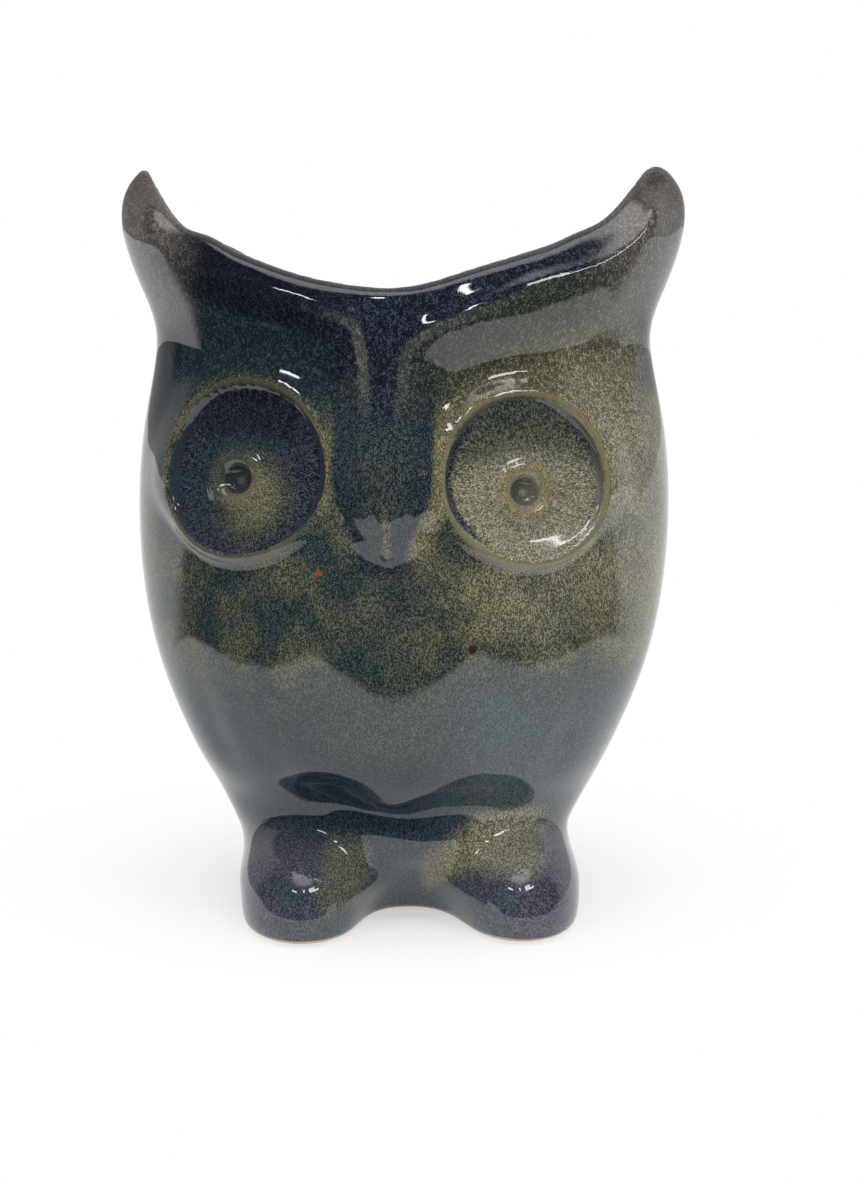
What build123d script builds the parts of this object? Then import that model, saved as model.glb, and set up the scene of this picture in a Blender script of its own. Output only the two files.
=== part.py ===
"""Owl coin bank: a hollow glazed stoneware owl, the rubber stopper in its base, and four bumpers.

The frame is Z up with the owl's face looking along -Y, and the origin in the middle of the
footprint, on the surface that the bumpers stand on.  Millimetres.
"""
from build123d import *
import os
from math import cos, radians, sin

# ---- driving dimensions ----------------------------------------------------------------------
height = 285.0          # horn tips above the table
wall = 6.0              # stoneware wall
stand = 1.0             # the bumpers hold the stoneware this far off the table
stance_turn = 6.5       # the feet are turned this much from the face, degrees about Z
clear = 20.0            # how far a cutting tool runs past what it cuts

# Body outline from the foot to the horn tips: level, half width, front reach, back reach.
outline = (
    (stand, 58.0, 34.0, 46.0),
    (14.0, 62.0, 40.0, 49.0),
    (30.0, 65.5, 53.0, 54.0),
    (45.0, 73.3, 66.5, 61.0),
    (69.0, 85.0, 75.0, 70.0),
    (93.0, 94.5, 80.0, 77.0),
    (125.0, 101.4, 82.0, 83.0),
    (157.0, 103.2, 78.5, 84.5),
    (187.0, 100.7, 72.5, 81.0),
    (208.0, 96.6, 68.5, 75.0),
    (223.0, 95.5, 67.5, 69.0),
    (240.0, 101.0, 64.5, 60.0),
    (256.0, 106.4, 56.0, 48.0),
    (268.0, 107.8, 42.0, 35.0),
    (278.0, 105.0, 26.0, 23.0),
    (height, 98.0, 13.0, 14.0),
)

# Rim from the middle to the horn tip, as half width and level, at the front of the head.
rim = (
    (0.0, 242.4),
    (20.0, 245.8),
    (40.0, 252.4),
    (60.0, 258.4),
    (71.0, 262.0),
    (77.0, 265.5),
    (81.5, 273.5),
    (84.5, 280.5),
    (88.0, height + 1.0),
)
rim_front = 62.0        # where the rim has those levels, in front of the axis
rim_back = 60.0
rim_drop = 8.0          # the back of the rim is this much lower in the middle,
rim_drop_reach = 85.0   # and level with the front at this half width,
rim_flare = 0.0016      # and wider, by this share for each millimetre of depth

# Floor of the dished crown inside the rim, rising into the horns.
crown_floor = ((0.0, 217.0), (30.0, 219.5), (60.0, 232.0), (84.0, 251.0), (100.0, 272.0))
slot_length = 38.0
slot_width = 5.0

# Face
eye_x = 51.0
eye_y = -62.5
eye_z = 171.5
eye_turn = 24.0         # each eye looks this far out to its side, degrees
eye_lift = 6.0          # and this far up
eye_backing_radius = 38.0
eye_backing_depth = 11.5
eye_ring_radius = 33.0
eye_ring_thickness = 2.6
eye_rim = (31.5, 0.0)   # the dish, as radius and height over the plane of the ring
eye_dish = (eye_rim, (28.5, -5.0), (22.0, -5.6), (10.0, -2.6), (6.0, -3.0), (3.5, -5.4), (0.0, -5.8))
beak_centre = (0.0, -66.0, 176.0)
beak_size = (17.5, 17.0, 38.0)
beak_lean = 7.0         # its lower end stands forward, degrees
brow_radius = 6.5
brow_path = ((3.0, -68.0, 208.0), (17.0, -65.0, 227.0), (50.0, -53.5, 239.0), (84.0, -27.5, 257.0))

# Feet: lobes of an ellipsoid, cut off flat underneath.
foot_spread = 40.5
foot_shift = 1.5        # both feet stand this much to the owl's left of the middle
foot_forward = 43.0
foot_level = 10.0
foot_size = (24.5, 39.5, 26.0)

# Base, with the hole for emptying the bank at the foot of a recess
hole_radius = 17.0
recess_radius = 24.0
recess_top = 7.0
base_inside = 14.0

# Stopper
fit_gap = 0.05
flange_radius = 21.5
flange_thickness = 2.5
plug_top = 19.0
plug_top_radius = 15.0
plug_inner_radius = 12.0
plug_roof = 3.0
tab_recess_radius = 10.0
tab_recess_depth = 8.0
tab_thickness = 3.5
flange_edge = 0.8

# Bumpers, let into pockets in the underside
bumper_radius = 6.0
bumper_thickness = 2.0
bumper_edge = 0.4
pocket_gap = 0.2
bumpers = {
    "foot_pad_front_left": (-33.5, -58.0),
    "foot_pad_front_right": (46.5, -49.0),
    "foot_pad_rear_left": (-37.0, 22.0),
    "foot_pad_rear_right": (37.0, 22.0),
}

os.makedirs("parts", exist_ok=True)


def mirrored(points):
    """A half curve from the middle outwards, made whole from -X to +X."""
    return [(-x, z) for x, z in reversed(points[1:])] + list(points)


def body_form(inset):
    """The bird's round body: ellipses through the outline, drawn in by inset on every side."""
    with BuildPart() as form:
        for level, half_width, front, back in outline:
            with BuildSketch(Plane.XY.offset(level)):
                with Locations((0, (back - front) / 2)):
                    Ellipse(half_width - inset, (front + back) / 2 - inset)
        loft()
    return form.part


def ellipsoid(centre, size, inset=0.0):
    """An egg-shaped lobe: its centre, and half its size each way, drawn in by inset."""
    return Pos(*centre) * scale(Sphere(1), by=tuple(half - inset for half in size))


def foot_lobe(side, inset=0.0):
    """One foot, turned with the stance; side is -1 or 1."""
    centre = (side * foot_spread + foot_shift, -foot_forward, foot_level)
    return Rot(0, 0, stance_turn) * ellipsoid(centre, foot_size, inset)


def eye_plane(side):
    """Plane of an eye's ring, facing the way that the eye looks."""
    out = cos(radians(eye_lift))
    look = (side * sin(radians(eye_turn)) * out, -cos(radians(eye_turn)) * out, sin(radians(eye_lift)))
    return Plane(origin=(side * eye_x, eye_y, eye_z), x_dir=(0, 0, 1), z_dir=look)


def eye_ring(side):
    """The raised ring round an eye."""
    with BuildPart() as ring:
        with Locations(eye_plane(side)):
            Torus(eye_ring_radius, eye_ring_thickness)
    return ring.part


def eye_dish_tool(side):
    """What is scooped out of the head for an eye: a dish with a small pit for the pupil."""
    plane = eye_plane(side)
    profile = Plane(origin=plane.origin, x_dir=plane.x_dir, z_dir=-plane.y_dir)
    with BuildPart() as dish:
        with BuildSketch(profile):
            with BuildLine():
                Spline(*eye_dish)
                Polyline(eye_dish[-1], (0, clear), (eye_rim[0], clear), eye_rim)
            make_face()
        revolve(axis=Axis(plane.origin, plane.z_dir))
    return dish.part


def eye_backing(side):
    """The stoneware behind an eye, which keeps the wall as thick there as elsewhere."""
    with BuildPart() as backing:
        with Locations(eye_plane(side)):
            Cylinder(
                eye_backing_radius,
                eye_backing_depth + clear,
                align=(Align.CENTER, Align.CENTER, Align.MIN),
            )
    return Pos(*(-eye_backing_depth * eye_plane(side).z_dir)) * backing.part


def brow(side):
    """The ridge from the beak over an eye and up into the horn."""
    with BuildPart() as ridge:
        with BuildLine() as path:
            Spline(*[(side * x, y, z) for x, y, z in brow_path])
        with BuildSketch(Plane(origin=path.line @ 0, z_dir=path.line % 0)):
            Circle(brow_radius)
        sweep()
    return ridge.part


def rim_levels(y):
    """The rim's curve at a depth y: its middle sinks towards the back of the head."""
    behind = y + rim_front
    drop = rim_drop * behind / (rim_front + rim_back)
    flare = 1 + rim_flare * behind
    return [(x * flare, z - drop * (1 - min(1, x / rim_drop_reach) ** 2)) for x, z in rim]


def above_rim():
    """Everything between the horns and above the rim."""
    top = height + clear
    with BuildPart() as space:
        for y in (-rim_front - clear, rim_back + clear):
            curve = mirrored(rim_levels(y))
            with BuildSketch(Plane.XZ.offset(-y)):
                with BuildLine():
                    Spline(*curve)
                    Polyline(curve[-1], (curve[-1][0], top), (curve[0][0], top), curve[0])
                make_face()
        loft(ruled=True)
    return space.part


def above_crown(lower):
    """Everything above the crown's floor, or above a surface that much lower."""
    top = height + clear
    curve = [(x, z - lower) for x, z in mirrored(crown_floor)]
    with BuildPart() as space:
        with BuildSketch(Plane.XZ):
            with BuildLine():
                Spline(*curve)
                Polyline(curve[-1], (curve[-1][0], top), (curve[0][0], top), curve[0])
            make_face()
        extrude(amount=rim_back + 2 * clear, both=True)
    return space.part


def belly_hollow():
    """The space inside, where the coins lie, with a hollow in each foot."""
    foot_hollows = [foot_lobe(side, wall) for side in (-1, 1)]
    with BuildPart() as hollow:
        add(body_form(wall))
        add(above_crown(wall), mode=Mode.SUBTRACT)
        for side in (-1, 1):
            add(eye_backing(side), mode=Mode.SUBTRACT)
        add(foot_hollows)
        split(bisect_by=Plane.XY.offset(base_inside), keep=Keep.TOP)
    return hollow.part


def crown_dish():
    """The hollow of the crown, inside the rim and down to the crown's floor."""
    with BuildPart() as dish:
        add(body_form(wall))
        add(above_crown(0.0), mode=Mode.INTERSECT)
    return dish.part


# ---- the owl ---------------------------------------------------------------------------------
belly = belly_hollow()
crown = crown_dish()
beak = Pos(*beak_centre) * Rot(-beak_lean, 0, 0) * ellipsoid((0, 0, 0), beak_size)
feet = [foot_lobe(side) for side in (-1, 1)]
with BuildPart() as owl_body:
    add(body_form(0.0))
    for side in (-1, 1):
        add(eye_ring(side))
        add(brow(side))
    add(beak)
    add(feet)
    for side in (-1, 1):
        add(eye_dish_tool(side), mode=Mode.SUBTRACT)
    split(bisect_by=Plane.XY.offset(stand), keep=Keep.TOP)
    add(above_rim(), mode=Mode.SUBTRACT)
    add(belly, mode=Mode.SUBTRACT)
    add(crown, mode=Mode.SUBTRACT)
    # coin slot through the floor of the crown
    with Locations((0, 0, crown_floor[0][1])):
        Box(slot_length, slot_width, 4 * wall, mode=Mode.SUBTRACT)
    # recess in the base, and the hole that the stopper closes
    with Locations((0, 0, recess_top)):
        Cylinder(
            recess_radius,
            clear,
            align=(Align.CENTER, Align.CENTER, Align.MAX),
            mode=Mode.SUBTRACT,
        )
    Cylinder(hole_radius, 2 * clear, mode=Mode.SUBTRACT)
    # pockets for the bumpers
    with Locations([(x, y, bumper_thickness) for x, y in bumpers.values()]):
        Cylinder(
            bumper_radius + pocket_gap,
            clear,
            align=(Align.CENTER, Align.CENTER, Align.MAX),
            mode=Mode.SUBTRACT,
        )
owl_body.part.label = "owl_body"
export_step(owl_body.part, "parts/owl_body.step")

# ---- the stopper -----------------------------------------------------------------------------
flange_bottom = recess_top - flange_thickness
with BuildPart() as base_stopper:
    with BuildSketch(Plane.XZ):
        with BuildLine():
            Polyline(
                (0, flange_bottom),
                (flange_radius, flange_bottom),
                (flange_radius, recess_top),
                (hole_radius - fit_gap, recess_top),
                (hole_radius - fit_gap, base_inside),
                (plug_top_radius, plug_top),
                (plug_inner_radius, plug_top),
                (plug_inner_radius, flange_bottom + tab_recess_depth + plug_roof),
                (0, flange_bottom + tab_recess_depth + plug_roof),
                close=True,
            )
        make_face()
    revolve(axis=Axis.Z)
    # finger recess in the underside, with the tab left standing across it
    with BuildSketch(Plane.XY.offset(flange_bottom)):
        Circle(tab_recess_radius)
        Rectangle(2 * tab_recess_radius, tab_thickness, mode=Mode.SUBTRACT)
    extrude(amount=tab_recess_depth, mode=Mode.SUBTRACT)
    round_edges = base_stopper.edges().filter_by(GeomType.CIRCLE)
    fillet(round_edges.filter_by(lambda edge: edge.radius > recess_radius - 3), flange_edge)
base_stopper.part.label = "base_stopper"
export_step(base_stopper.part, "parts/base_stopper.step")

# ---- the bumpers -----------------------------------------------------------------------------
for name, (x, y) in bumpers.items():
    with BuildPart() as foot_pad:
        with Locations((x, y, 0)):
            Cylinder(
                bumper_radius,
                bumper_thickness,
                align=(Align.CENTER, Align.CENTER, Align.MIN),
            )
        chamfer(foot_pad.edges().filter_by(GeomType.CIRCLE).group_by(Axis.Z)[0], bumper_edge)
    foot_pad.part.label = name
    export_step(foot_pad.part, "parts/" + name + ".step")
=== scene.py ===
import math

import bpy
import numpy as np
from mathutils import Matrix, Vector


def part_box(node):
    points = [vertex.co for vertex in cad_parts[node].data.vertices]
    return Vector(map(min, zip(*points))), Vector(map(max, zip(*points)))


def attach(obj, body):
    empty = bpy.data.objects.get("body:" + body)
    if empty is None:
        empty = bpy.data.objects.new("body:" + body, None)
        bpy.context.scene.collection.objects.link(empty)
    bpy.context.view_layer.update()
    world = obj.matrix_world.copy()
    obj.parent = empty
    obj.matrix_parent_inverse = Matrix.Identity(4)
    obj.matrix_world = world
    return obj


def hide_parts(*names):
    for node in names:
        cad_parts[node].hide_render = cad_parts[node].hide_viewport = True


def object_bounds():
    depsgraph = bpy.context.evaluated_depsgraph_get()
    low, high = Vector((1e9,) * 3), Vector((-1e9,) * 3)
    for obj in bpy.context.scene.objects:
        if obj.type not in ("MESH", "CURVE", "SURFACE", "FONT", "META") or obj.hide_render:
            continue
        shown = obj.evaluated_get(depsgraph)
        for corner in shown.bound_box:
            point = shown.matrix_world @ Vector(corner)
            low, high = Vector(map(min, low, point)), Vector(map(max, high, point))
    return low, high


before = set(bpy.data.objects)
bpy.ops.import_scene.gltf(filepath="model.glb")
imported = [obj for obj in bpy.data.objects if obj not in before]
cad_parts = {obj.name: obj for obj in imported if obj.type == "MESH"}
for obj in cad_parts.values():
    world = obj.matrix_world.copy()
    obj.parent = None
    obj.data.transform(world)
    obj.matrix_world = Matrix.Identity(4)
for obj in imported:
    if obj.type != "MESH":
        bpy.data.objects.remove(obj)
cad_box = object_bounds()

# Owl coin bank.  The stoneware owl is sculpted here as one closed surface around the CAD casting;
# the stopper and the four bumpers are the CAD pieces with finished materials.
# The sculpting works in millimetres, in the frame of the CAD model; MM turns them into metres.
MM = 0.001


# ---------------------------------------------------------------- curves and distances
class Curve:
    """A natural cubic spline through (place, value) points, straight beyond its ends."""

    def __init__(self, points):
        self.x, self.y = np.array(points, float).T
        n = len(self.x)
        gap = np.diff(self.x)
        slope = np.diff(self.y) / gap
        system, right = np.eye(n), np.zeros(n)
        for i in range(1, n - 1):
            system[i, i - 1 : i + 2] = gap[i - 1], 2 * (gap[i - 1] + gap[i]), gap[i]
            right[i] = 6 * (slope[i] - slope[i - 1])
        self.bend = np.linalg.solve(system, right)
        self.gap, self.slope = gap, slope

    def __call__(self, at):
        at = np.asarray(at, float)
        inside = np.clip(at, self.x[0], self.x[-1])
        i = np.clip(np.searchsorted(self.x, inside) - 1, 0, len(self.gap) - 1)
        t, g = inside - self.x[i], self.gap[i]
        low, high = self.bend[i], self.bend[i + 1]
        value = self.y[i] + t * (self.slope[i] - g * (2 * low + high) / 6)
        value += t * t * low / 2 + t**3 * (high - low) / (6 * g)
        first = self.slope[0] - self.gap[0] * self.bend[1] / 6
        last = self.slope[-1] + self.gap[-1] * self.bend[-2] / 6
        return value + np.minimum(at - self.x[0], 0) * first + np.maximum(at - self.x[-1], 0) * last


def smooth_min(a, b, k):
    """Union of two distances, filleted over about k."""
    h = np.clip(0.5 + 0.5 * (b - a) / k, 0, 1)
    return b + (a - b) * h - k * h * (1 - h)


def smooth_max(a, b, k):
    """Intersection of two distances, rounded over about k."""
    return -smooth_min(-a, -b, k)


def fade(low, high, value):
    """0 below low, 1 above high, smooth between."""
    t = np.clip((value - low) / (high - low), 0, 1)
    return t * t * (3 - 2 * t)


def ellipsoid(p, centre, size):
    """Distance to an ellipsoid, good near its surface."""
    q = (p - np.array(centre)) / np.array(size)
    reach = np.linalg.norm(q, axis=1)
    steep = np.linalg.norm(q / np.array(size), axis=1)
    return reach * (reach - 1) / np.maximum(steep, 1e-6)


def turned(p, degrees):
    """The points as seen from a frame turned about Z."""
    c, s = math.cos(math.radians(degrees)), math.sin(math.radians(degrees))
    return np.stack([p[:, 0] * c + p[:, 1] * s, p[:, 1] * c - p[:, 0] * s, p[:, 2]], axis=1)


class Line:
    """A smooth line drawn on the front of the bird, as (x, z) points."""

    def __init__(self, points, steps=5):
        pts = np.array(points, float)
        pts = np.vstack([2 * pts[0] - pts[1], pts, 2 * pts[-1] - pts[-2]])
        t = (np.arange(steps) / steps)[:, None]
        parts = [
            0.5 * (2 * b + (c - a) * t + (2 * a - 5 * b + 4 * c - d) * t**2
                   + (3 * b - a - 3 * c + d) * t**3)
            for a, b, c, d in zip(pts, pts[1:], pts[2:], pts[3:])
        ]
        self.points = np.vstack(parts + [pts[-2:-1]])
        self.steps = np.diff(self.points, axis=0)
        run = np.linalg.norm(self.steps, axis=1)
        self.start = np.concatenate([[0], np.cumsum(run)[:-1]]) / run.sum()
        self.share = run / run.sum()

    def place(self, q):
        """Distance from the line, positive on its right, and the share of the way along it."""
        best = np.full(len(q), np.inf)
        side = np.ones(len(q))
        along = np.zeros(len(q))
        for a, step, start, share in zip(self.points, self.steps, self.start, self.share):
            offset = q - a
            t = np.clip((offset @ step) / (step @ step), 0, 1)
            d = ((offset - t[:, None] * step) ** 2).sum(axis=1)
            closer = d < best
            best = np.where(closer, d, best)
            turn = offset[:, 0] * step[1] - offset[:, 1] * step[0]
            side = np.where(closer, np.sign(turn), side)
            along = np.where(closer, start + t * share, along)
        return np.sqrt(best) * side, along


# ---------------------------------------------------------------- the owl's measures, mm
floor_gap, wall, lip = 1.0, 6.0, 7.0
# the round body: height, half width, reach to the front and reach to the back
levels = np.array((
    (-8.0, 54.0, 31.0, 43.0),
    (1.0, 58.0, 34.0, 46.0),
    (14.0, 61.5, 40.0, 49.0),
    (29.0, 65.0, 57.0, 53.5),
    (45.0, 73.3, 59.5, 61.0),
    (57.0, 79.4, 69.5, 66.0),
    (69.0, 85.0, 75.0, 70.0),
    (93.0, 94.5, 79.5, 77.0),
    (125.0, 101.4, 81.5, 83.0),
    (157.0, 103.2, 78.0, 84.4),
    (187.0, 100.7, 72.0, 81.0),
    (208.0, 96.6, 68.0, 75.0),
    (223.0, 95.5, 67.0, 69.0),
    (240.0, 101.0, 64.0, 60.0),
    (256.0, 106.2, 56.0, 48.0),
    (268.0, 107.5, 42.0, 35.0),
    (278.0, 104.4, 26.0, 23.0),
    (286.0, 97.0, 14.0, 15.0),
    (296.0, 84.0, 6.0, 7.0),
))
half_width = Curve(levels[:, (0, 1)])
front_reach = Curve(levels[:, (0, 2)])
back_reach = Curve(levels[:, (0, 3)])

# the rim from horn to horn, the chamfer along its front edge, and the floor of the crown's dish
rim_line = Curve((
    (-95.0, 292.0), (-90.0, 287.5), (-85.5, 279.5), (-81.0, 271.2), (-76.5, 265.4), (-67.0, 261.3),
    (-48.0, 254.0), (-31.0, 248.0), (-13.4, 244.5), (0.0, 243.5), (9.0, 244.3), (25.0, 249.1),
    (48.0, 257.0), (64.0, 262.6), (72.0, 266.5), (76.5, 272.0), (80.5, 279.5), (85.0, 287.5),
    (90.0, 292.0),
))
rim_front, rim_back, rim_drop, rim_reach, rim_flare = -62.0, 60.0, 10.5, 92.0, 0.0019
rim_bevel, rim_tilt, bevel_drop, rim_round = 3.6, 58.0, 6.0, 4.0
horn_top = 284.7
dish_round, belly_round, base_thickness = 10.0, 8.0, 14.0
crown_line = Curve(((0.0, 217.0), (30.0, 219.5), (60.0, 232.0), (84.0, 251.0), (100.0, 272.0)))

# eyes: each has a middle, a radius, a stretch sideways and a place for its pupil;
# heights are measured from the eye's plane
eye_turn, eye_lift, eye_bend = 25.0, 14.0, 115.0
eyes = {
    -1: ((-54.2, -64.3, 174.6), 31.6, 1.13, (-3.4, -2.6)),
    1: ((51.6, -65.0, 172.2), 30.4, 1.08, (0.3, -3.4)),
}
ring_crest, ring_edge, ring_flank = 0.8, 1.2, 0.6
bowl_depth, pupil_radius, pupil_depth = 4.2, 5.6, 3.6
lip_radius, lip_height, lip_width = 8.9, 1.8, 2.6
trough_radius, trough_depth, trough_width = 15.5, 1.2, 5.0
groove_inset, groove_depth, groove_width = 3.6, 1.1, 2.0

stance_turn = 6.5
foot_side, foot_shift, foot_front, foot_level = 41.0, 1.5, -42.0, 9.0
foot_size = (23.5, 39.0, 26.0)
foot_fillet, foot_fillet_low = 10.0, 18.0
arch_height, arch_width = 1.5, 15.0

# brows: from the bridge of the nose up and out to the horns, and their section across the line
brow_right = Line((
    (3.6, 186.0), (3.8, 204.0), (4.6, 217.3), (9.6, 224.6), (15.5, 228.6), (27.2, 233.6),
    (37.6, 237.5), (52.5, 243.6), (66.9, 247.3), (79.0, 251.4), (90.0, 260.0), (96.0, 272.0),
))
brow_left = Line((
    (4.0, 186.0), (5.0, 206.0), (7.0, 222.8), (10.0, 230.4), (15.0, 233.2), (23.6, 236.2),
    (33.2, 239.1), (45.9, 242.2), (59.5, 246.1), (73.4, 250.6), (86.0, 259.4), (94.0, 273.0),
))
brow_section = Curve((
    (-18.0, 0.0), (-14.0, 0.2), (-8.0, 1.4), (-3.0, 2.9), (0.0, 4.4), (2.2, 5.0), (6.0, 4.2),
    (10.0, 2.7), (15.0, 1.0), (20.0, 0.1), (24.0, 0.0),
))
brow_strength = {-1: 0.80, 1: 1.10}
hollow_strength = {-1: 0.45, 1: 1.05}
# the hollow under each brow, which runs on down the side of the nose
hollow_right = Line((
    (104.0, 222.0), (90.0, 220.0), (76.0, 216.4), (57.0, 213.2), (42.0, 210.2), (30.0, 204.5),
    (23.5, 197.0), (20.5, 186.0), (20.0, 172.0), (18.0, 156.0), (12.0, 143.0),
))
hollow_left = Line((
    (102.0, 225.0), (88.0, 222.5), (75.0, 218.0), (62.0, 216.8), (46.0, 217.5), (33.0, 213.0),
    (22.5, 203.0), (18.5, 188.0), (17.5, 173.0), (15.5, 158.0), (10.0, 145.0),
))
hollow_depth = Curve((
    (0.0, 6.0), (0.4, 7.0), (0.52, 7.6), (0.6, 6.4), (0.7, 4.0), (0.8, 2.2), (0.92, 0.8), (1.0, 0.0),
))
hollow_width = Curve((
    (0.0, 12.0), (0.4, 11.5), (0.52, 11.0), (0.62, 7.5), (0.7, 5.5), (0.8, 4.6), (1.0, 4.0),
))
# soft edges of the wings and the belly, drawn once and mirrored, and the crease over the feet
wing_edge = Line((
    (60.0, 140.0), (68.0, 122.0), (71.0, 100.0), (68.0, 82.0), (60.5, 66.0), (51.0, 53.0),
))
belly_edge = Line((
    (37.0, 122.0), (48.0, 104.0), (56.0, 86.0), (51.0, 72.0), (40.0, 65.0), (27.0, 59.5),
))
belly_crease = Line((
    (-62.0, 60.0), (-45.0, 57.0), (-26.0, 53.0), (-9.0, 46.0), (8.0, 43.5), (25.0, 48.0),
    (43.0, 55.0), (60.0, 60.0),
))
crease_depth = Curve((
    (0.0, 1.5), (0.2, 2.6), (0.35, 3.6), (0.5, 2.8), (0.65, 3.6), (0.8, 2.6), (1.0, 1.5),
))
crease_width = Curve((
    (0.0, 8.0), (0.2, 8.0), (0.35, 7.4), (0.5, 3.2), (0.65, 7.4), (0.8, 8.0), (1.0, 8.0),
))
wing_depth, wing_width, edge_depth, edge_width = 1.3, 6.5, 0.9, 6.0
# the nose and beak: middle and radius, top to bottom
beak_line = (
    (0.2, -60.0, 224.0, 3.0), (0.6, -63.5, 208.0, 8.6), (1.2, -64.8, 192.0, 14.6),
    (1.6, -67.6, 178.0, 17.4), (1.6, -68.4, 166.0, 16.8), (1.4, -68.8, 155.0, 13.6),
)
nose_middle, beak_stretch = -0.6, 1.16
keel_height, keel_width = 1.2, 2.4
chin_place, chin_size, chin_depth = (1.5, -78.0, 142.0), (15.0, 40.0, 8.0), 3.5
bead_place, bead_size = (13.6, -80.5, 176.5), 2.4

# openings: the coin slot, the base hole with the stopper's recess, and the bumpers' pockets
slot_half, slot_floor = (19.0, 2.5), 190.0
recess_radius, recess_top, hole_radius, hole_top = 24.0, 7.0, 17.0, 25.0
pocket_radius, pocket_top = 6.2, 2.0


# ---------------------------------------------------------------- the sculpted form
def round_body(p):
    """The bird's plain round body, without face, feet or rim."""
    def reach(z):
        front, back = front_reach(z), back_reach(z)
        across = p[:, 0] / half_width(z)
        along = (p[:, 1] - (back - front) / 2) / ((back + front) / 2)
        return np.hypot(across, along), across / half_width(z), along / ((back + front) / 2)

    step = 0.5
    rho, gx, gy = reach(p[:, 2])
    gz = (reach(p[:, 2] + step)[0] - reach(p[:, 2] - step)[0]) / (2 * step)
    rho_safe = np.maximum(rho, 0.15)
    return (rho - 1) / np.sqrt((gx / rho_safe) ** 2 + (gy / rho_safe) ** 2 + gz**2)


def eye_frame(p, side):
    """Across, up and out from an eye's gently curved plane."""
    t, u = math.radians(eye_turn), math.radians(eye_lift)
    look = np.array((side * math.sin(t) * math.cos(u), -math.cos(t) * math.cos(u), math.sin(u)))
    across = np.array((math.cos(t), side * math.sin(t), 0.0))
    upward = np.cross(across, look) * (1 if np.cross(across, look)[2] > 0 else -1)
    middle, _, stretch, _ = eyes[side]
    q = p - np.array(middle)
    sideways, up, out = q @ across, q @ upward, q @ look
    return sideways / stretch, up, out + sideways**2 / (2 * eye_bend)


def eye_height(across, up, radius, pupil_at):
    """Height of the eye's hollow face: bowl, pupil with its raised lip, trough and outer groove."""
    r = np.minimum(np.hypot(across, up), radius)
    s = np.hypot(across - pupil_at[0], up - pupil_at[1])
    share = up / radius
    bowl = -bowl_depth * (1 - (r / radius) ** (2.6 - 0.6 * np.clip(share, -1, 1)))
    pupil = -pupil_depth * (1 - fade(0.5 * pupil_radius, 1.25 * pupil_radius, s))
    raised = lip_height * np.exp(-(((s - lip_radius) / lip_width) ** 2))
    trough = -trough_depth * np.exp(-(((s - trough_radius) / trough_width) ** 2)) * (0.6 - 0.6 * share)
    sides = fade(-0.85, -0.4, share) * fade(0.95, 0.6, share)
    groove = -groove_depth * np.exp(-(((r - radius + groove_inset) / groove_width) ** 2)) * sides
    crest = ring_crest * fade(radius - 2.6, radius - 0.6, r) * fade(0.9, 0.2, share)
    return bowl + pupil + raised + trough + groove + crest


def add_eye(d, p, side):
    """A raised disc whose lower flank stands clear of the cheek, hollowed inside its rim."""
    _, radius, _, pupil_at = eyes[side]
    across, up, out = eye_frame(p, side)
    r = np.hypot(across, up)
    near = (r < radius + 18) & (out > -16) & (out < 22)
    across, up, out, r = across[near], up[near], out[near], r[near]
    upper = fade(-0.95, -0.1, up / radius)
    past_rim = r - radius - 2.5 * upper
    flank = (past_rim + ring_flank * (out - ring_crest)) / math.hypot(1, ring_flank)
    disc = smooth_max(out - ring_crest, flank, 1.6 + 7.0 * upper)
    disc = np.maximum(disc, -14.0 - out)
    raised = smooth_min(d[near], disc, 1.5 + 9.5 * upper)
    hollow = np.maximum(eye_height(across, up, radius, pupil_at) - out, r - (radius - ring_edge))
    d[near] = smooth_max(raised, -hollow, ring_edge + 3.5 * fade(0.3, 0.95, up / radius))
    return d


def face_relief(p):
    """Modelling on the front, as millimetres outwards."""
    relief = np.zeros(len(p))
    front = np.stack([p[:, 0], p[:, 2]], axis=1)
    for side, brow, hollow in ((1, brow_right, hollow_right), (-1, brow_left, hollow_left)):
        part = (p[:, 2] > 130) & (p[:, 0] * side > -16)
        across, along = brow.place(front[part] * (side, 1))
        crest = brow_section(np.clip(across, -16, 22)) * brow_strength[side]
        crest *= fade(0, 0.14, along) * (0.45 + 0.55 * fade(0.15, 0.4, along))
        across, along = hollow.place(front[part] * (side, 1))
        ends = fade(0, 0.08, along) * fade(0, 0.08, 1 - along) * hollow_strength[side]
        sunk = hollow_depth(along) * np.exp(-((across / hollow_width(along)) ** 2)) * ends
        relief[part] += crest - sunk
    low = p[:, 2] < 150
    mirrored = np.stack([np.abs(p[:, 0] - nose_middle), p[:, 2]], axis=1)
    for line, depth, width in ((wing_edge, wing_depth, wing_width), (belly_edge, edge_depth, edge_width)):
        across, along = line.place(mirrored[low])
        ends = fade(0.35, 0.75, along) * fade(0, 0.2, 1 - along)
        relief[low] -= depth * np.exp(-((across / width) ** 2)) * ends
    relief[low] -= chin_depth * np.exp(-((((p[low] - chin_place) / chin_size) ** 2).sum(axis=1)))
    across, along = belly_crease.place(front[low])
    ends = fade(0, 0.2, along) * fade(0, 0.2, 1 - along)
    relief[low] -= crease_depth(along) * np.exp(-((across / crease_width(along)) ** 2)) * ends
    return relief * fade(-6, -36, p[:, 1])


def brow_offset(p):
    """Distance from the brow's crest line: negative on the forehead, positive over the eyes."""
    offset = np.zeros(len(p))
    for side, brow in ((1, brow_right), (-1, brow_left)):
        part = p[:, 0] * side >= 0
        q = np.stack([p[part, 0] * side, p[part, 2]], axis=1)
        offset[part] = np.clip(brow.place(q)[0], -30, 30)
    return offset


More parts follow.
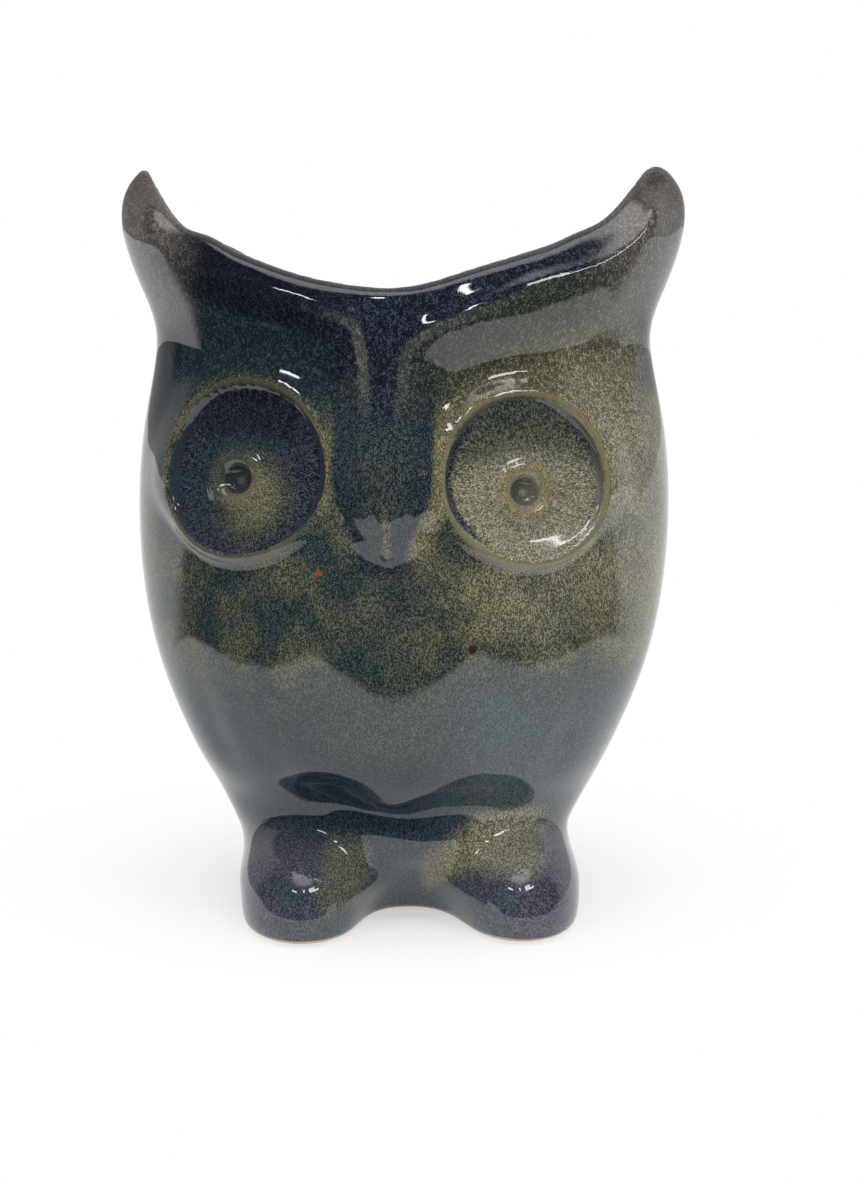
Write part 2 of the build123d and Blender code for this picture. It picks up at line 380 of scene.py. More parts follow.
def beak_form(p):
    """One swelling form from the bridge of the nose to the point of the beak."""
    q = p * (1 / beak_stretch, 1, 1)
    knots = np.array(beak_line) * (1 / beak_stretch, 1, 1, 1)
    d = np.full(len(p), np.inf)
    path = Line(knots, 8)
    for a, step in zip(path.points, path.steps):
        t = np.clip(((q - a[:3]) @ step[:3]) / (step[:3] @ step[:3]), 0, 1)
        d = np.minimum(d, np.linalg.norm(q - a[:3] - t[:, None] * step[:3], axis=1) - a[3] - t * step[3])
    keel = np.exp(-(((p[:, 0] - beak_line[-1][0]) / keel_width) ** 2)) * fade(172, 154, p[:, 2])
    return d - keel_height * keel


def outer_form(p):
    """The owl's outside: body, relief, beak, eyes and feet, before the rim is cut."""
    d = round_body(p)
    near = (np.abs(d) < 30) & (p[:, 1] < 20)
    d[near] -= face_relief(p[near])
    face = near & (np.abs(p[:, 0]) < 40) & (p[:, 2] > 120) & (p[:, 2] < 245)
    d[face] = smooth_min(d[face], beak_form(p[face]), 3.5)
    bead = np.exp(-(np.linalg.norm(p[face] - bead_place, axis=1) / bead_size) ** 2)
    d[face] -= bead
    for side in (-1, 1):
        d = add_eye(d, p, side)
        foot = ellipsoid(
            turned(p, stance_turn), (side * foot_side + foot_shift, foot_front, foot_level), foot_size
        )
        d = smooth_min(d, foot, foot_fillet + foot_fillet_low * fade(42, 10, p[:, 2]))
    return d


def rim_level(p):
    """Height of the rim over each point; the back is lower and wider."""
    behind = p[:, 1] - rim_front
    sink = rim_drop * behind / (rim_back - rim_front)
    x = p[:, 0] / (1 + rim_flare * behind)
    return rim_line(x) - sink * np.clip(1 - (x / rim_reach) ** 4, 0, 1)


def base_level(p):
    """Underside of the foot, with a low arch between the feet."""
    q = turned(p, stance_turn)
    arch = np.exp(-(((q[:, 0] - foot_shift) / arch_width) ** 2)) * fade(-24.0, -40.0, q[:, 1])
    return floor_gap + arch_height * arch


def cut_rim(outer, p):
    """The outside form, cut along the rim, chamfered in front and stopped at the horns' tips."""
    slope = rim_level(p + (0.5, 0, 0)) - rim_level(p - (0.5, 0, 0))
    over_rim = (p[:, 2] - rim_level(p)) / np.sqrt(1 + slope**2)
    t = math.radians(rim_tilt)
    bevel = over_rim * math.sin(t) + outer * math.cos(t) + rim_bevel
    bevel -= bevel_drop * fade(56, 84, np.abs(p[:, 0]))
    d = smooth_max(outer, over_rim, rim_round)
    d = smooth_max(d, bevel, 2.0)
    return smooth_max(d, p[:, 2] - horn_top, 3.0)


def cut_openings(d, p):
    """Cuts the coin slot, the base hole, the stopper's recess and the bumpers' pockets."""
    across = np.maximum(np.abs(p[:, 0]) - slot_half[0] + slot_half[1], 0)
    slot = np.hypot(across, p[:, 1]) - slot_half[1]
    slot = np.maximum(slot, slot_floor - p[:, 2])
    d = smooth_max(d, -slot, 2.0)
    axis = np.hypot(p[:, 0], p[:, 1])
    d = smooth_max(d, -np.maximum(axis - recess_radius, p[:, 2] - recess_top), 0.8)
    d = smooth_max(d, -np.maximum(axis - hole_radius, p[:, 2] - hole_top), 0.6)
    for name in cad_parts:
        if name.startswith("foot_pad"):
            low, high = np.array(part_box(name)) / MM
            x, y = (low[:2] + high[:2]) / 2
            pocket = np.maximum(np.hypot(p[:, 0] - x, p[:, 1] - y) - pocket_radius, p[:, 2] - pocket_top)
            d = np.maximum(d, -pocket)
    return d


def owl_form(p):
    """The whole casting: rim, dished crown, hollow belly, base and openings."""
    outer = outer_form(p)
    floor = crown_line(np.abs(p[:, 0]))
    dish = smooth_max(outer + lip, floor - p[:, 2], dish_round)
    belly = smooth_max(outer + wall, p[:, 2] - (floor - wall), belly_round)
    belly = smooth_max(belly, base_thickness - p[:, 2], 6.0)
    d = smooth_max(cut_rim(outer, p), -dish, 5.0)
    d = np.maximum(d, -belly)
    d = smooth_max(d, base_level(p) - p[:, 2], 2.5)
    return cut_openings(d, p)


# ---------------------------------------------------------------- from form to mesh
def in_chunks(form, p, size=200_000):
    """The form's values, worked out in pieces that fit in memory."""
    return np.concatenate([form(p[i : i + size]) for i in range(0, len(p), size)])


def sample(form, low, high, step):
    """The form on a grid: exact near its surface, and roughly right elsewhere."""
    axes = [np.arange(a, b + step, step) for a, b in zip(low, high)]
    shape = tuple(len(a) for a in axes)
    rough = 4
    coarse_axes = [np.arange(a[0], a[-1] + rough * step, rough * step) for a in axes]
    coarse = np.stack(np.meshgrid(*coarse_axes, indexing="ij"), -1).reshape(-1, 3)
    value = in_chunks(form, coarse).reshape([len(a) for a in coarse_axes])
    for axis in range(3):
        at = np.arange(shape[axis]) / rough
        i = np.minimum(at.astype(int), value.shape[axis] - 2)
        t = (at - i).reshape([-1 if k == axis else 1 for k in range(3)])
        value = np.take(value, i, axis) * (1 - t) + np.take(value, i + 1, axis) * t
    near = np.argwhere(np.abs(value) < 1.9 * rough * step)
    points = np.stack([axes[k][near[:, k]] for k in range(3)], axis=1)
    value[tuple(near.T)] = in_chunks(form, points)
    return value, np.array([a[0] for a in axes])


def surface_net(value, origin, step):
    """Corners and quads of the surface where the grid's values change sign."""
    inside = value < 0
    nx, ny, nz = np.array(value.shape) - 1
    total = np.zeros((nx, ny, nz, 3))
    count = np.zeros((nx, ny, nz))
    corners = [(i, j, k) for i in (0, 1) for j in (0, 1) for k in (0, 1)]
    def part(a, c):
        return a[c[0] : c[0] + nx, c[1] : c[1] + ny, c[2] : c[2] + nz]
    for c in corners:
        for axis in range(3):
            if c[axis]:
                continue
            e = tuple(v + (k == axis) for k, v in enumerate(c))
            a, b = part(value, c), part(value, e)
            cross = part(inside, c) != part(inside, e)
            t = np.where(cross, a / np.where(cross, a - b, 1), 0)
            for k in range(3):
                total[..., k] += np.where(cross, c[k] + (t if k == axis else 0), 0)
            count += cross
    used = count > 0
    number = np.full(used.shape, -1)
    number[used] = np.arange(used.sum())
    cell = np.argwhere(used)
    verts = origin + step * (cell + total[used] / count[used][:, None])
    quads = []
    for axis in range(3):
        u, v = (axis + 1) % 3, (axis + 2) % 3
        first = [slice(1, -1)] * 3
        first[axis] = slice(None, -1)
        second = list(first)
        second[axis] = slice(1, None)
        a, b = inside[tuple(first)], inside[tuple(second)]
        for enter, order in ((a & ~b, (0, 1, 2, 3)), (~a & b, (3, 2, 1, 0))):
            at = np.argwhere(enter)
            at[:, u] += 1
            at[:, v] += 1
            ring = []
            for du, dv in ((-1, -1), (0, -1), (0, 0), (-1, 0)):
                c = at.copy()
                c[:, u] += du
                c[:, v] += dv
                ring.append(number[tuple(c.T)])
            quads.append(np.stack([ring[k] for k in order], axis=1))
    return verts, np.concatenate(quads)


def gradient(form, p, step):
    """How the form changes along each axis."""
    shift = np.eye(3) * step
    return np.stack(
        [in_chunks(form, p + s) - in_chunks(form, p - s) for s in shift], axis=1
    ) / (2 * step)


def neighbour_mean(quads, count):
    """A function that averages each vertex's neighbours."""
    a = np.concatenate([quads[:, k] for k in range(4)])
    b = np.concatenate([quads[:, (k + 1) % 4] for k in range(4)])
    number = np.bincount(a, minlength=count).astype(float)
    def mean(values):
        values = values.reshape(count, -1)
        out = np.stack([np.bincount(a, values[b, k], count) for k in range(values.shape[1])], 1)
        return out / number[:, None]
    return mean


def settle(form, verts, quads, rounds=3):
    """Evens out the mesh and puts it exactly on the surface."""
    mean = neighbour_mean(quads, len(verts))
    for _ in range(rounds):
        g = gradient(form, verts, 0.3)
        n = g / np.maximum(np.linalg.norm(g, axis=1, keepdims=True), 1e-9)
        move = mean(verts) - verts
        move -= n * (move * n).sum(axis=1, keepdims=True)
        verts = verts + 0.6 * move
        d = in_chunks(form, verts)
        size = np.maximum((g**2).sum(axis=1), 0.25)
        verts = verts - g * np.clip(d / size, -0.8, 0.8)[:, None]
    return verts


def build_mesh(name, form, low, high, step):
    """A mesh of the form's surface, with the vertices and quads it was made from."""
    value, origin = sample(form, low, high, step)
    verts, quads = surface_net(value, origin, step)
    verts = settle(form, verts, quads)
    mesh = bpy.data.meshes.new(name)
    mesh.from_pydata((verts * MM).tolist(), [], quads.tolist())
    mesh.validate()
    mesh.shade_smooth()
    return mesh, verts, quads


def owl_piece(step):
    """The glazed owl as one mesh, with its curvature and brow distance kept for the glaze."""
    lowest, highest = np.array(cad_box) / MM
    mesh, verts, quads = build_mesh("owl_glazed", owl_form, lowest - 2 * step, highest + 2 * step, step)
    piece = bpy.data.objects.new("owl_glazed", mesh)
    bpy.context.scene.collection.objects.link(piece)
    mean = neighbour_mean(quads, len(verts))
    spread = 2.0
    bend = np.zeros(len(verts))
    for axis in np.eye(3) * spread:
        bend += in_chunks(owl_form, verts + axis) + in_chunks(owl_form, verts - axis)
    bend /= spread**2
    for _ in range(2):
        bend = 0.5 * bend + 0.5 * mean(bend)[:, 0]
    for name, value in (("bulge", bend), ("brow", brow_offset(verts))):
        attribute = mesh.attributes.new(name, "FLOAT", "POINT")
        attribute.data.foreach_set("value", value.astype(np.float32))
    return piece


grid_step = 1.7
owl = owl_piece(grid_step)
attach(owl, "owl")
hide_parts("owl_body")


# ---------------------------------------------------------------- materials
class Nodes:
    """Short hand for building a node tree."""

    def __init__(self, tree):
        self.tree = tree

    def add(self, kind, inputs=(), **settings):
        node = self.tree.nodes.new(kind)
        for key, value in settings.items():
            setattr(node, key, value)
        for key, value in dict(inputs).items():
            self.plug(value, node.inputs[key])
        return node

    def plug(self, value, socket):
        if isinstance(value, bpy.types.NodeSocket):
            self.tree.links.new(value, socket)
        else:
            socket.default_value = value

    def math(self, operation, *values, clamp=False):
        node = self.add("ShaderNodeMath", enumerate(values), operation=operation, use_clamp=clamp)
        return node.outputs[0]

    def vector(self, operation, *values):
        node = self.add("ShaderNodeVectorMath", enumerate(values), operation=operation)
        return node.outputs["Value" if operation in ("LENGTH", "DISTANCE") else "Vector"]

    def axes(self, place):
        split = self.add("ShaderNodeSeparateXYZ", {0: place}).outputs
        return split["X"], split["Y"], split["Z"]

    def attribute(self, name):
        return self.add("ShaderNodeAttribute", attribute_name=name).outputs["Fac"]

    def noise(self, at, scale, detail=2.0, roughness=0.5):
        inputs = {"Vector": at, "Scale": scale, "Detail": detail, "Roughness": roughness}
        return self.add("ShaderNodeTexNoise", inputs).outputs["Fac"]

    def band(self, value, low, high, first=0.0, last=1.0, kind="SMOOTHSTEP"):
        """From first at low to last at high, smooth between; low may be above high."""
        inputs = {"Value": value, "From Min": low, "From Max": high, "To Min": first, "To Max": last}
        return self.add("ShaderNodeMapRange", inputs, interpolation_type=kind).outputs["Result"]

    def mix(self, factor, a, b):
        node = self.add("ShaderNodeMix", data_type="RGBA", clamp_factor=True)
        self.plug(factor, node.inputs[0])
        for value, socket in ((a, node.inputs[6]), (b, node.inputs[7])):
            if not isinstance(value, bpy.types.NodeSocket):
                value = (*value[:3], 1)
            self.plug(value, socket)
        return node.outputs[2]

    def mix_vectors(self, factor, a, b):
        return self.add("ShaderNodeMix", {0: factor, 4: a, 5: b}, data_type="VECTOR").outputs[1]

    def mix_shaders(self, factor, a, b):
        return self.add("ShaderNodeMixShader", {0: factor, 1: a, 2: b}).outputs[0]

    def glowing(self, color, strength=1.0):
        inputs = {"Color": (*color, 1), "Strength": strength}
        return self.add("ShaderNodeEmission", inputs).outputs[0]

    def times(self, *values):
        total = values[0]
        for value in values[1:]:
            total = self.math("MULTIPLY", total, value)
        return total

    def bump(self, height, depth, under=None):
        inputs = {"Height": height, "Distance": depth, "Strength": 1.0}
        if under is not None:
            inputs["Normal"] = under
        return self.add("ShaderNodeBump", inputs).outputs["Normal"]


def new_material(name):
    """A material, its nodes and its surface shader's sockets."""
    material = bpy.data.materials.new(name)
    material.use_nodes = True
    n = Nodes(material.node_tree)
    return material, n, n.tree.nodes["Principled BSDF"].inputs


def place_in_mm(n):
    """Where a point is on the piece, in millimetres."""
    metres = n.add("ShaderNodeTexCoord").outputs["Object"]
    return n.vector("MULTIPLY", metres, (1 / MM, 1 / MM, 1 / MM))


# each glaze colour is a pair: where it pools dark, and where it breaks into light flecks
navy = ((0.004, 0.006, 0.011), (0.042, 0.053, 0.080))
teal = ((0.006, 0.013, 0.018), (0.040, 0.060, 0.064))
olive = ((0.016, 0.022, 0.018), (0.115, 0.120, 0.078))
gold = ((0.070, 0.062, 0.032), (0.300, 0.268, 0.155))
slate = ((0.005, 0.011, 0.018), (0.026, 0.044, 0.056))
plum = ((0.022, 0.022, 0.034), (0.105, 0.102, 0.135))
umber = ((0.030, 0.021, 0.016), (0.085, 0.064, 0.050))
ink = ((0.003, 0.004, 0.007), (0.015, 0.018, 0.030))
sand = ((0.085, 0.082, 0.058), (0.370, 0.350, 0.245))
horn = ((0.050, 0.044, 0.040), (0.200, 0.182, 0.165))
# paler steel painted on as reflection: glare on the belly's right side and the floor's reflection low down
painted_reflection_steel = ((0.024, 0.036, 0.042), (0.085, 0.112, 0.122))
# pale grey painted on as the reflection along the brow ridges
painted_ridge_reflection_grey = ((0.045, 0.048, 0.045), (0.165, 0.165, 0.145))
rust = ((0.060, 0.020, 0.008), (0.300, 0.110, 0.040))
pit = ((0.020, 0.010, 0.006), (0.050, 0.028, 0.016))
# the bare body where the glaze is thin on an edge, and the clay of the foot ring
bone, clay = (0.16, 0.155, 0.125), (0.56, 0.43, 0.32)
# faults in the firing: place, radius and colour
faults = (
    ((32.0, -77.0, 112.0), 2.2, pit),
    ((-24.0, -78.0, 139.0), 1.9, rust),
    ((-26.0, -55.0, 34.0), 3.0, rust),
)
fleck_size, cluster_size, streak = 2.1, 0.7, 0.6
ray_count, ray_length = 17, 0.45
glaze_ior, glaze_edge = 1.68, 3.6
peel_depth, grain_depth = 0.00006, 0.000003


class Glaze:
    """Colour pairs laid over each other by mask, and the places and drifts the masks are made of."""

    def __init__(self, nodes, pair):
        n = self.nodes = nodes
        self.dark, self.light = ((*c, 1) for c in pair)
        self.place = place_in_mm(n)
        self.x, self.y, self.z = n.axes(self.place)
        self.across = n.math("ABSOLUTE", self.x)
        self.bulge, self.brow = n.attribute("bulge"), n.attribute("brow")
        self.patch = n.noise(n.vector("ADD", self.place, (310, 70, 20)), 0.05, 3.0, 0.5)
        drift = n.math("MULTIPLY_ADD", n.noise(self.place, 0.035, 3.0), 60.0, -30.0)
        self.high = n.math("ADD", self.z, drift)
        self.right = n.band(n.math("ADD", self.x, drift), -40, 50)
        self.front = n.band(self.y, -14, -34)
        self.inside, self.offset, self.away = {}, {}, {}
        for side, (middle, radius, _, pupil_at) in eyes.items():
            pupil = (middle[0] + pupil_at[0] * 0.9, middle[1], middle[2] + pupil_at[1])
            from_middle = n.vector("DISTANCE", self.place, middle)
            self.inside[side] = n.band(from_middle, radius + 3.0, radius - 0.5)
            self.offset[side] = n.vector("SUBTRACT", self.place, pupil)
            self.away[side] = n.vector("LENGTH", self.offset[side])

    def lay(self, pair, *mask):
        n = self.nodes
        mask = n.times(*mask)
        self.dark = n.mix(mask, self.dark, pair[0])
        self.light = n.mix(mask, self.light, pair[1])


def flecks(g):
    """Fine noise, and the mask of light flecks: upright streaks, and rays inside the eyes."""
    n = g.nodes
    grain_at = n.vector("MULTIPLY", g.place, (1.0, 1.0, streak))
    for side in eyes:
        rays = n.vector("MULTIPLY", n.vector("NORMALIZE", g.offset[side]), (ray_count,) * 3)
        rays = n.vector("ADD", rays, n.vector("MULTIPLY", g.offset[side], (ray_length,) * 3))
        grain_at = n.mix_vectors(g.inside[side], grain_at, rays)
    fine = n.noise(grain_at, fleck_size, 2.0, 0.6)
    coarse = n.noise(grain_at, cluster_size, 2.0, 0.6)
    top = n.band(g.high, 186, 212)
    blend = n.math("MULTIPLY_ADD", top, 0.15, 0.2)
    fleck = n.math("MULTIPLY_ADD", n.math("SUBTRACT", coarse, fine), blend, fine)
    return fine, n.band(n.math("MULTIPLY_ADD", top, -0.03, fleck), 0.45, 0.60)


def glaze_body(g):
    """Olive, teal and gold in patches over the face, slate on the belly, and a painted reflection in paler
    steel on the belly's right side and low down near the floor.
    """
    n, x, z, across, high, right = g.nodes, g.x, g.z, g.across, g.high, g.right
    g.lay(teal, n.band(g.patch, 0.35, 0.62), n.math("MULTIPLY_ADD", right, -0.6, 0.9))
    golden = n.math("MULTIPLY_ADD", right, 0.75, 0.1)
    g.lay(gold, n.band(g.patch, 0.66, 0.36), golden, n.band(high, 95, 118), 0.75)
    g.lay(sand, right, n.band(x, 22, 52), n.band(high, 100, 130), 0.38)
    g.lay(teal, n.band(across, 34, 8), n.band(z, 152, 138), n.band(high, 92, 108), 0.5)
    g.lay(slate, n.band(high, 106, 76))
    g.lay(olive, n.band(across, 46, 8), n.band(z, 62, 78), n.band(z, 112, 84), 0.5)
    # painted glare: the belly's right side made paler
    g.lay(painted_reflection_steel, n.band(x, 8, 44), n.band(high, 112, 84))
    # painted reflection of the floor: everything low down over the skirt made paler
    g.lay(painted_reflection_steel, n.band(z, 42, 30), 0.55)


def glaze_feet(g):
    """Plum on the toes, and gold and sand where the glaze thins over the insteps."""
    n, x, z, front = g.nodes, g.x, g.z, g.front
    g.lay(plum, front, n.band(z, 42, 28), n.band(g.across, 18, 32), n.band(g.patch, 0.30, 0.52))
    slope = n.math("MULTIPLY_ADD", x, -0.7, z)
    instep = n.times(front, n.band(slope, 0, 7), n.band(slope, 24, 14), n.band(x, 8, 14), n.band(x, 60, 48))
    g.lay(gold, instep, n.band(z, 48, 42), 0.75)
    g.lay(sand, front, n.band(z, 47, 42), n.band(z, 21, 29), n.band(x, 26, 36), n.band(x, 62, 52), 0.75)
    g.lay(gold, front, n.band(z, 40, 30), n.band(z, 8, 18), n.band(x, -28, -20), n.band(x, -4, -12), 0.4)


def glaze_forehead(g):
    """Navy and ink above the brows, a painted pale grey reflection along their ridges, and brown horns."""
    n, x, z, front, brow, high = g.nodes, g.x, g.z, g.front, g.brow, g.high
    g.lay(navy, n.band(n.math("MULTIPLY_ADD", g.right, -14.0, high), 186, 208))
    under_brow = n.times(n.band(brow, -0.5, 2.5), front, n.band(z, 186, 200), g.right)
    g.lay(olive, under_brow, 0.9)
    g.lay(gold, under_brow, n.band(brow, 14, 26), 0.5)
    g.lay(navy, n.band(brow, 1.5, -1.5), front, n.band(z, 174, 190), 0.95)
    g.lay(ink, n.band(brow, 3, -3), front, n.band(x, -14, -48), n.band(z, 200, 214), 0.7)
    # painted reflection: a pale grey line along the brow ridges down to the nose
    ridge_reflection = n.band(n.math("ABSOLUTE", n.math("SUBTRACT", brow, 2.6)), 3.0, 1.0)
    paler = n.math("MULTIPLY_ADD", n.band(x, 6, -6), 0.35, 0.55)
    g.lay(painted_ridge_reflection_grey, ridge_reflection, front, n.band(z, 184, 206), paler, n.band(z, 238, 226))
    g.lay(ink, n.band(x, 0, -40), n.band(high, 186, 208), 0.8)
    over_eye = n.times(front, n.band(brow, 9, 16), n.band(x, -16, -24), n.band(x, -92, -78))
    g.lay(teal, over_eye, n.band(z, 186, 194), 0.85)
    around_eye = n.times(front, n.band(g.away[-1], 42, 38), n.band(g.away[-1], 29, 33))
    g.lay(olive, around_eye, n.band(x, -24, -32), n.band(z, 186, 192), 0.5)
    beside_eye = n.times(n.band(x, 56, 70), n.band(x, 98, 82), n.band(z, 150, 170))
    g.lay(sand, beside_eye, n.band(high, 232, 208), 0.8)
    g.lay(horn, n.band(high, 212, 240), n.band(g.across, 66, 90), 0.85)
    g.lay(umber, n.band(z, 262, 276), n.band(g.across, 74, 88), 0.7)


def glaze_nose(g):
    """A dark nose and beak, with gold down both of its sides."""
    n, z = g.nodes, g.z
    from_nose = n.math("ABSOLUTE", n.math("SUBTRACT", g.x, nose_middle))
    from_beak = n.math("MULTIPLY_ADD", n.band(z, 174, 142), 10.0, from_nose)
    nose = n.times(g.front, n.band(from_beak, 19.5, 16.5), n.band(z, 136, 146), n.band(z, 214, 190))
    g.lay(navy, nose, 0.88)
    g.lay(teal, nose, n.band(z, 210, 186), 0.5)
    g.lay(olive, nose, n.band(from_beak, 14, 5), n.band(z, 206, 176), 0.3)
    flank = n.times(g.front, n.band(from_beak, 17.5, 20.5), n.band(from_beak, 29, 24))
    golden = n.math("MULTIPLY_ADD", g.right, 0.75, 0.2)
    g.lay(gold, flank, n.band(z, 140, 150), n.band(z, 206, 186), golden)


def glaze_eyes(g):
    """The left eye navy with a golden glow by its pupil, the right one olive and sand."""
    n, left, right = g.nodes, g.inside[-1], g.inside[1]
    g.lay(navy, left, n.band(g.away[-1], 8, 20), 0.9)
    g.lay(teal, left, n.band(g.away[-1], 26, 12), 0.6)
    glow = n.vector("LENGTH", n.vector("SUBTRACT", g.offset[-1], (8, 0, -7)))
    g.lay(olive, left, n.band(glow, 23, 8), 0.9)
    g.lay(gold, left, n.band(glow, 16, 3), 0.55)
    g.lay(ink, left, n.band(n.axes(g.offset[-1])[2], 8, 20), 0.6)
    lower = n.math("MULTIPLY_ADD", g.away[1], 0.5, g.z)
    g.lay(olive, right, 0.9)
    g.lay(sand, right, n.band(lower, 198, 180), 0.8)
    g.lay(navy, right, n.band(lower, 198, 206), 0.35)


def glaze_relief(g, fine, face):
    """Dark where the glaze pools in the hollows of the face, gold where it thins over its edges."""
    n, left, right = g.nodes, g.inside[-1], g.inside[1]
    chest = n.band(g.z, 70, 84)
    pool = n.band(n.math("MULTIPLY_ADD", fine, 0.08, g.bulge), -0.06, -0.28)
    weaker = n.math("MULTIPLY_ADD", n.times(right, n.band(g.x, 40, 60)), -0.55, 0.85)
    g.lay(navy, pool, chest, weaker)
    thin = n.band(n.math("MULTIPLY_ADD", fine, 0.12, g.bulge), 0.14, 0.36)
    thin = n.times(thin, chest, n.band(g.away[-1], 4, 7), n.band(g.away[1], 4, 7))
    golden = n.math("MULTIPLY_ADD", g.right, 0.5, 0.4)
    rim_only = n.math("MULTIPLY_ADD", n.times(left, n.band(g.away[-1], 24, 18)), -0.75, 1.0)
    g.lay(gold, thin, face, golden, rim_only)
    for spot, radius, pair in faults:
        g.lay(pair, n.band(n.vector("DISTANCE", g.place, spot), radius, 0.5 * radius))


def glaze_material():
    """Reactive glaze: flecked navy above, olive and teal below, broken to gold where it thins."""
    material, n, surface = new_material("reactive_glaze")
    g = Glaze(n, olive)
    fine, fleck = flecks(g)
    for part in (glaze_body, glaze_feet, glaze_forehead, glaze_nose, glaze_eyes):
        part(g)
    face = n.band(g.z, 222, 208)
    glaze_relief(g, fine, face)
    color = n.mix(fleck, g.dark, g.light)
    edge = n.band(g.bulge, 0.25, 0.7)
    color = n.mix(n.times(edge, n.math("SUBTRACT", 1.0, face), 0.35), color, bone)

    # bare clay on the foot ring, below a wandering edge of glaze
    bare = n.band(n.math("MULTIPLY_ADD", g.patch, 1.6, g.z), glaze_edge, glaze_edge - 0.6)
    color = n.mix(bare, color, n.mix(fine, clay, tuple(0.7 * c for c in clay)))
    n.plug(color, surface["Base Color"])
    smear = n.math("MULTIPLY_ADD", g.patch, 0.10, n.math("MULTIPLY", g.inside[1], 0.06))
    n.plug(n.math("MULTIPLY_ADD", bare, 0.6, smear, clamp=True), surface["Roughness"])
    surface["IOR"].default_value = glaze_ior
    peel = n.bump(n.noise(g.place, 0.12, 1.0), peel_depth)
    n.plug(n.bump(fine, grain_depth, under=peel), surface["Normal"])
    return material


def rubber_material(name, color, scuffed):
    """Moulded rubber: a faint mottle, dust in the low grain, and a fine skin."""
    material, n, surface = new_material(name)
    place = place_in_mm(n)
    mottle = n.noise(place, 0.25, 4.0, 0.6)
    grain = n.noise(place, 2.2, 3.0, 0.6)
    base = n.mix(n.band(mottle, 0.50, 0.72), color, scuffed)
    n.plug(n.mix(n.math("MULTIPLY", grain, 0.25), base, scuffed), surface["Base Color"])
    n.plug(n.math("MULTIPLY_ADD", grain, 0.22, 0.42), surface["Roughness"])
    surface["IOR"].default_value = 1.52
    n.plug(n.bump(grain, 0.00006), surface["Normal"])
    return material


stopper_rubber = rubber_material("stopper_rubber", (0.018, 0.018, 0.019), (0.055, 0.053, 0.050))
bumper_rubber = rubber_material("bumper_rubber", (0.022, 0.021, 0.020), (0.075, 0.070, 0.064))
owl.data.materials.append(glaze_material())
for name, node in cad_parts.items():
    if name != "owl_body":
        node.data.materials.clear()
        node.data.materials.append(stopper_rubber if name == "base_stopper" else bumper_rubber)


# ---------------------------------------------------------------- floor, light, camera
scene = bpy.context.scene
scene.view_settings.view_transform = "Standard"
# the stage, in metres: half the floor's size, and the white sheet's reach with its scalloped rim
floor_reach, sheet_reach, scallop_depth, scallop_count = 4.0, 0.26, 0.14, 3.0


def sheet_end(n, place):
    """1 past the scalloped edge of the white sheet, in front of the owl only."""
    x, y, _ = n.axes(place)
    turn = n.math("ARCTAN2", x, y)
    scallop = n.math("ABSOLUTE", n.math("COSINE", n.math("MULTIPLY", turn, scallop_count)))
    facing = n.math("POWER", n.math("COSINE", turn), 2.0)
    deep = n.math("MULTIPLY", scallop, n.math("MULTIPLY_ADD", facing, 0.65, 0.35))
    edge = n.math("MULTIPLY_ADD", deep, -scallop_depth, sheet_reach + scallop_depth)
    beyond = n.band(n.math("SUBTRACT", n.vector("LENGTH", place), edge), -0.01, 0.02)
    return beyond, n.band(y, 0.15, 0.0)


def stage_floor():
    """A wide pale floor; in reflections its white sheet ends a little way out from the owl."""
    mesh = bpy.data.meshes.new("floor")
    corners = [(x * floor_reach, y * floor_reach, 0) for x, y in ((-1, -1), (1, -1), (1, 1), (-1, 1))]
    mesh.from_pydata(corners, [], [(0, 1, 2, 3)])
    floor = bpy.data.objects.new("floor", mesh)
    scene.collection.objects.link(floor)
    material, n, surface = new_material("floor_white")
    geometry = n.add("ShaderNodeNewGeometry").outputs
    place = geometry["Position"]
    grey = n.math("MULTIPLY_ADD", n.noise(place, 14.0, 3.0), 0.02, 0.86)
    n.plug(n.add("ShaderNodeCombineColor", {0: grey, 1: grey, 2: grey}).outputs[0], surface["Base Color"])
    surface["Roughness"].default_value = 0.75
    paper = n.tree.nodes["Principled BSDF"].outputs[0]
    blown_out = n.band(n.vector("LENGTH", place), -0.12, 0.22)
    seen = n.mix_shaders(blown_out, paper, n.glowing((1, 1, 1)))
    beyond, ahead = sheet_end(n, place)
    mirrored = n.add("ShaderNodeLightPath").outputs["Is Glossy Ray"]
    above = n.mix_shaders(n.times(beyond, mirrored, ahead), seen, n.glowing((0.02, 0.021, 0.023)))
    # from below the floor is clear, so that the owl's underside can be looked at
    below = n.add("ShaderNodeBsdfTransparent").outputs[0]
    both = n.mix_shaders(geometry["Backfacing"], above, below)
    n.plug(both, n.tree.nodes["Material Output"].inputs["Surface"])
    mesh.materials.append(material)


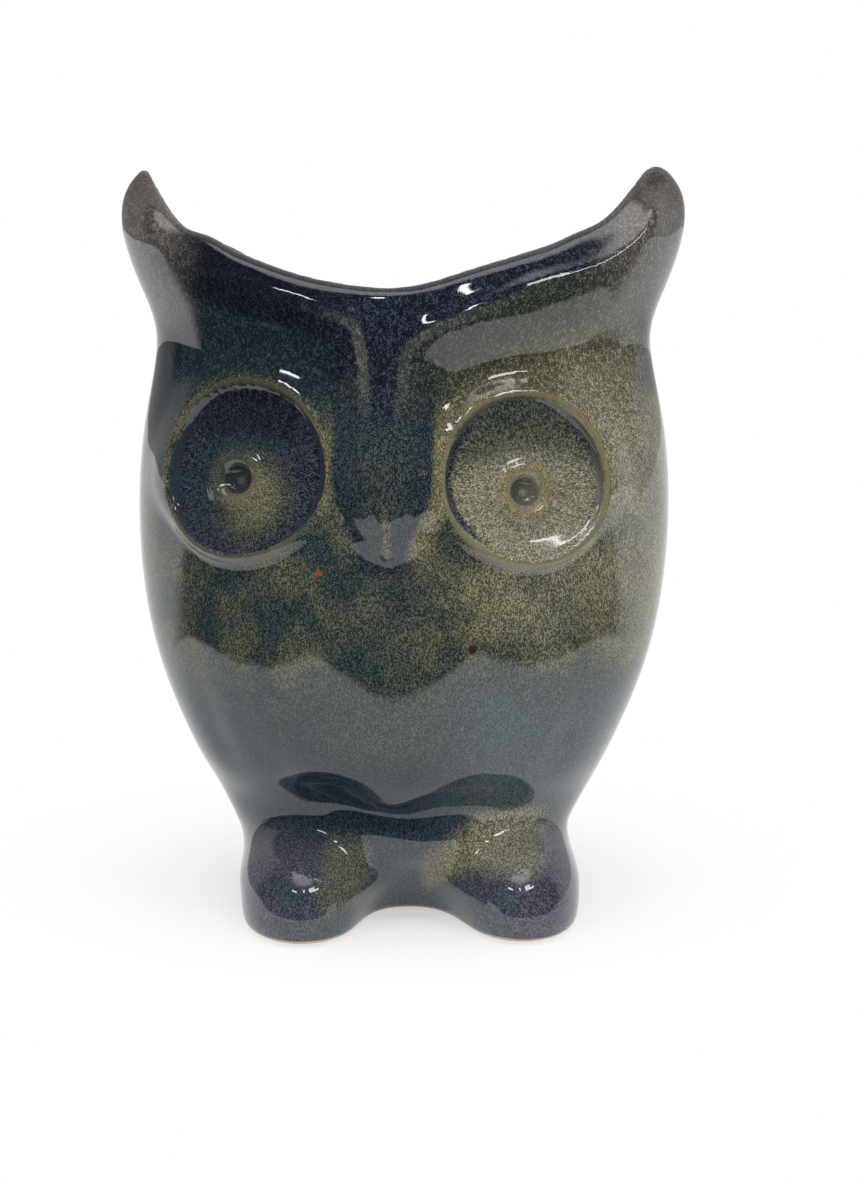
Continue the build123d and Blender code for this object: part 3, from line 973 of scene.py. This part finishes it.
def room():
    """White to look at and light by; in reflections dim, with a paler far side and bright ceiling."""
    world = bpy.data.worlds.new("room")
    scene.world = world
    world.use_nodes = True
    n = Nodes(world.node_tree)
    path = n.add("ShaderNodeLightPath").outputs
    x, y, z = n.axes(n.add("ShaderNodeTexCoord").outputs["Generated"])
    side = n.band(x, -1.0, 1.0, 0.35, 0.75, "LINEAR")
    far_side = n.band(y, 0.25, 0.50, 0.045, side)
    ceiling = n.band(z, 0.92, 0.97, 0.0, 2.3)
    inputs = {"Color": (0.8, 0.8, 0.8, 1), "Strength": n.math("MAXIMUM", far_side, ceiling)}
    dim = n.add("ShaderNodeBackground", inputs).outputs[0]
    pale = n.tree.nodes["Background"]
    pale.inputs["Color"].default_value = (1.0, 1.0, 1.0, 1)
    n.plug(n.band(path["Is Camera Ray"], 0.0, 1.0, 0.75, 1.0, "LINEAR"), pale.inputs["Strength"])
    mixed = n.mix_shaders(path["Is Glossy Ray"], pale.outputs[0], dim)
    n.plug(mixed, n.tree.nodes["World Output"].inputs["Surface"])


def area_light(name, azimuth, elevation, distance, size, power, mirrored=True):
    """A rectangular lamp facing the owl; mirrored says whether the glaze reflects it."""
    data = bpy.data.lights.new(name, "AREA")
    data.shape = "RECTANGLE"
    data.size, data.size_y = size
    data.energy = power
    lamp = bpy.data.objects.new(name, data)
    scene.collection.objects.link(lamp)
    a, e = math.radians(azimuth), math.radians(elevation)
    way = Vector((math.sin(a) * math.cos(e), -math.cos(a) * math.cos(e), math.sin(e)))
    lamp.location = way * distance + Vector((0, 0, 0.15))
    lamp.rotation_euler = way.to_track_quat("Z", "Y").to_euler()
    lamp.visible_glossy = mirrored


stage_floor()
room()
area_light("overhead", 0, 80, 1.6, (1.6, 1.6), 14, mirrored=False)
area_light("fill_front", 10, 25, 1.8, (1.2, 1.2), 8, mirrored=False)
area_light("soft_right", 38, 54, 1.3, (0.30, 0.24), 1.9)
area_light("crest_right", 54, 50, 1.3, (0.22, 0.05), 0.5)
area_light("strip_front", 6, 54, 1.3, (0.05, 0.14), 0.4)
area_light("soft_left", -30, 50, 1.3, (0.24, 0.06), 0.6)

# the camera stands a metre away, a little to the right and above, and looks down at the owl
camera_azimuth, camera_height, camera_dip, camera_swing = math.radians(5.0), 0.290, 9.67, 0.653
camera_data = bpy.data.cameras.new("camera")
camera = bpy.data.objects.new("camera", camera_data)
scene.collection.objects.link(camera)
scene.camera = camera
camera_data.sensor_fit = "VERTICAL"
camera_data.sensor_height = 36.0
camera_data.lens = 78.7
camera.location = (math.sin(camera_azimuth), -math.cos(camera_azimuth), camera_height)
camera.rotation_euler = (math.radians(90 - camera_dip), 0, camera_azimuth - math.radians(camera_swing))
